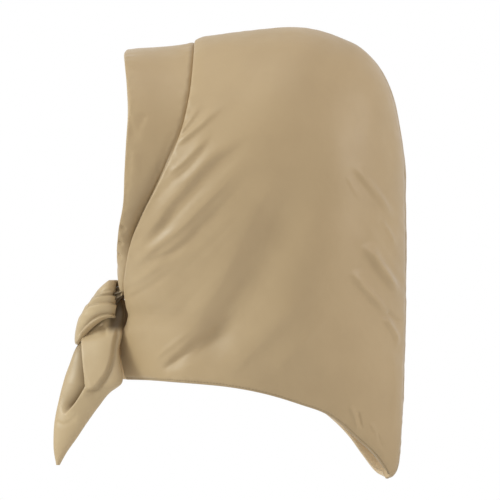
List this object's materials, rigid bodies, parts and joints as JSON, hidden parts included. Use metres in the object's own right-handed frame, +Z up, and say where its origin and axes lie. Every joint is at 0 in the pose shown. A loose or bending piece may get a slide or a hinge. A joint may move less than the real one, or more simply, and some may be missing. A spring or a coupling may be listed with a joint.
{
  "type": "hooded scarf",
  "caption": "Padded hood with a wide folded brim round the face, a pointed back hem, and tie ends knotted under the chin into two hanging points.",
  "frame": {"origin": "where the crown of the head touches the inside of the hood, on the middle seam", "axes": "+Z up, +X to the wearer's left, -Y the way the wearer faces"},
  "size_m": [0.2428, 0.352, 0.4505],
  "materials": {
    "padded_panel": "smooth satin woven shell over wadding",
    "brim": "smooth satin woven shell over thin wadding",
    "tie": "smooth satin woven shell, softly folded"
  },
  "bodies": {
    "root": {"hood_panel_left": "padded_panel", "hood_panel_right": "padded_panel", "brim_band": "brim", "tie_left": "tie", "tie_right": "tie", "knot_wrap": "tie", "tail_left": "tie", "tail_right": "tie"}
  },
  "joints": []
}
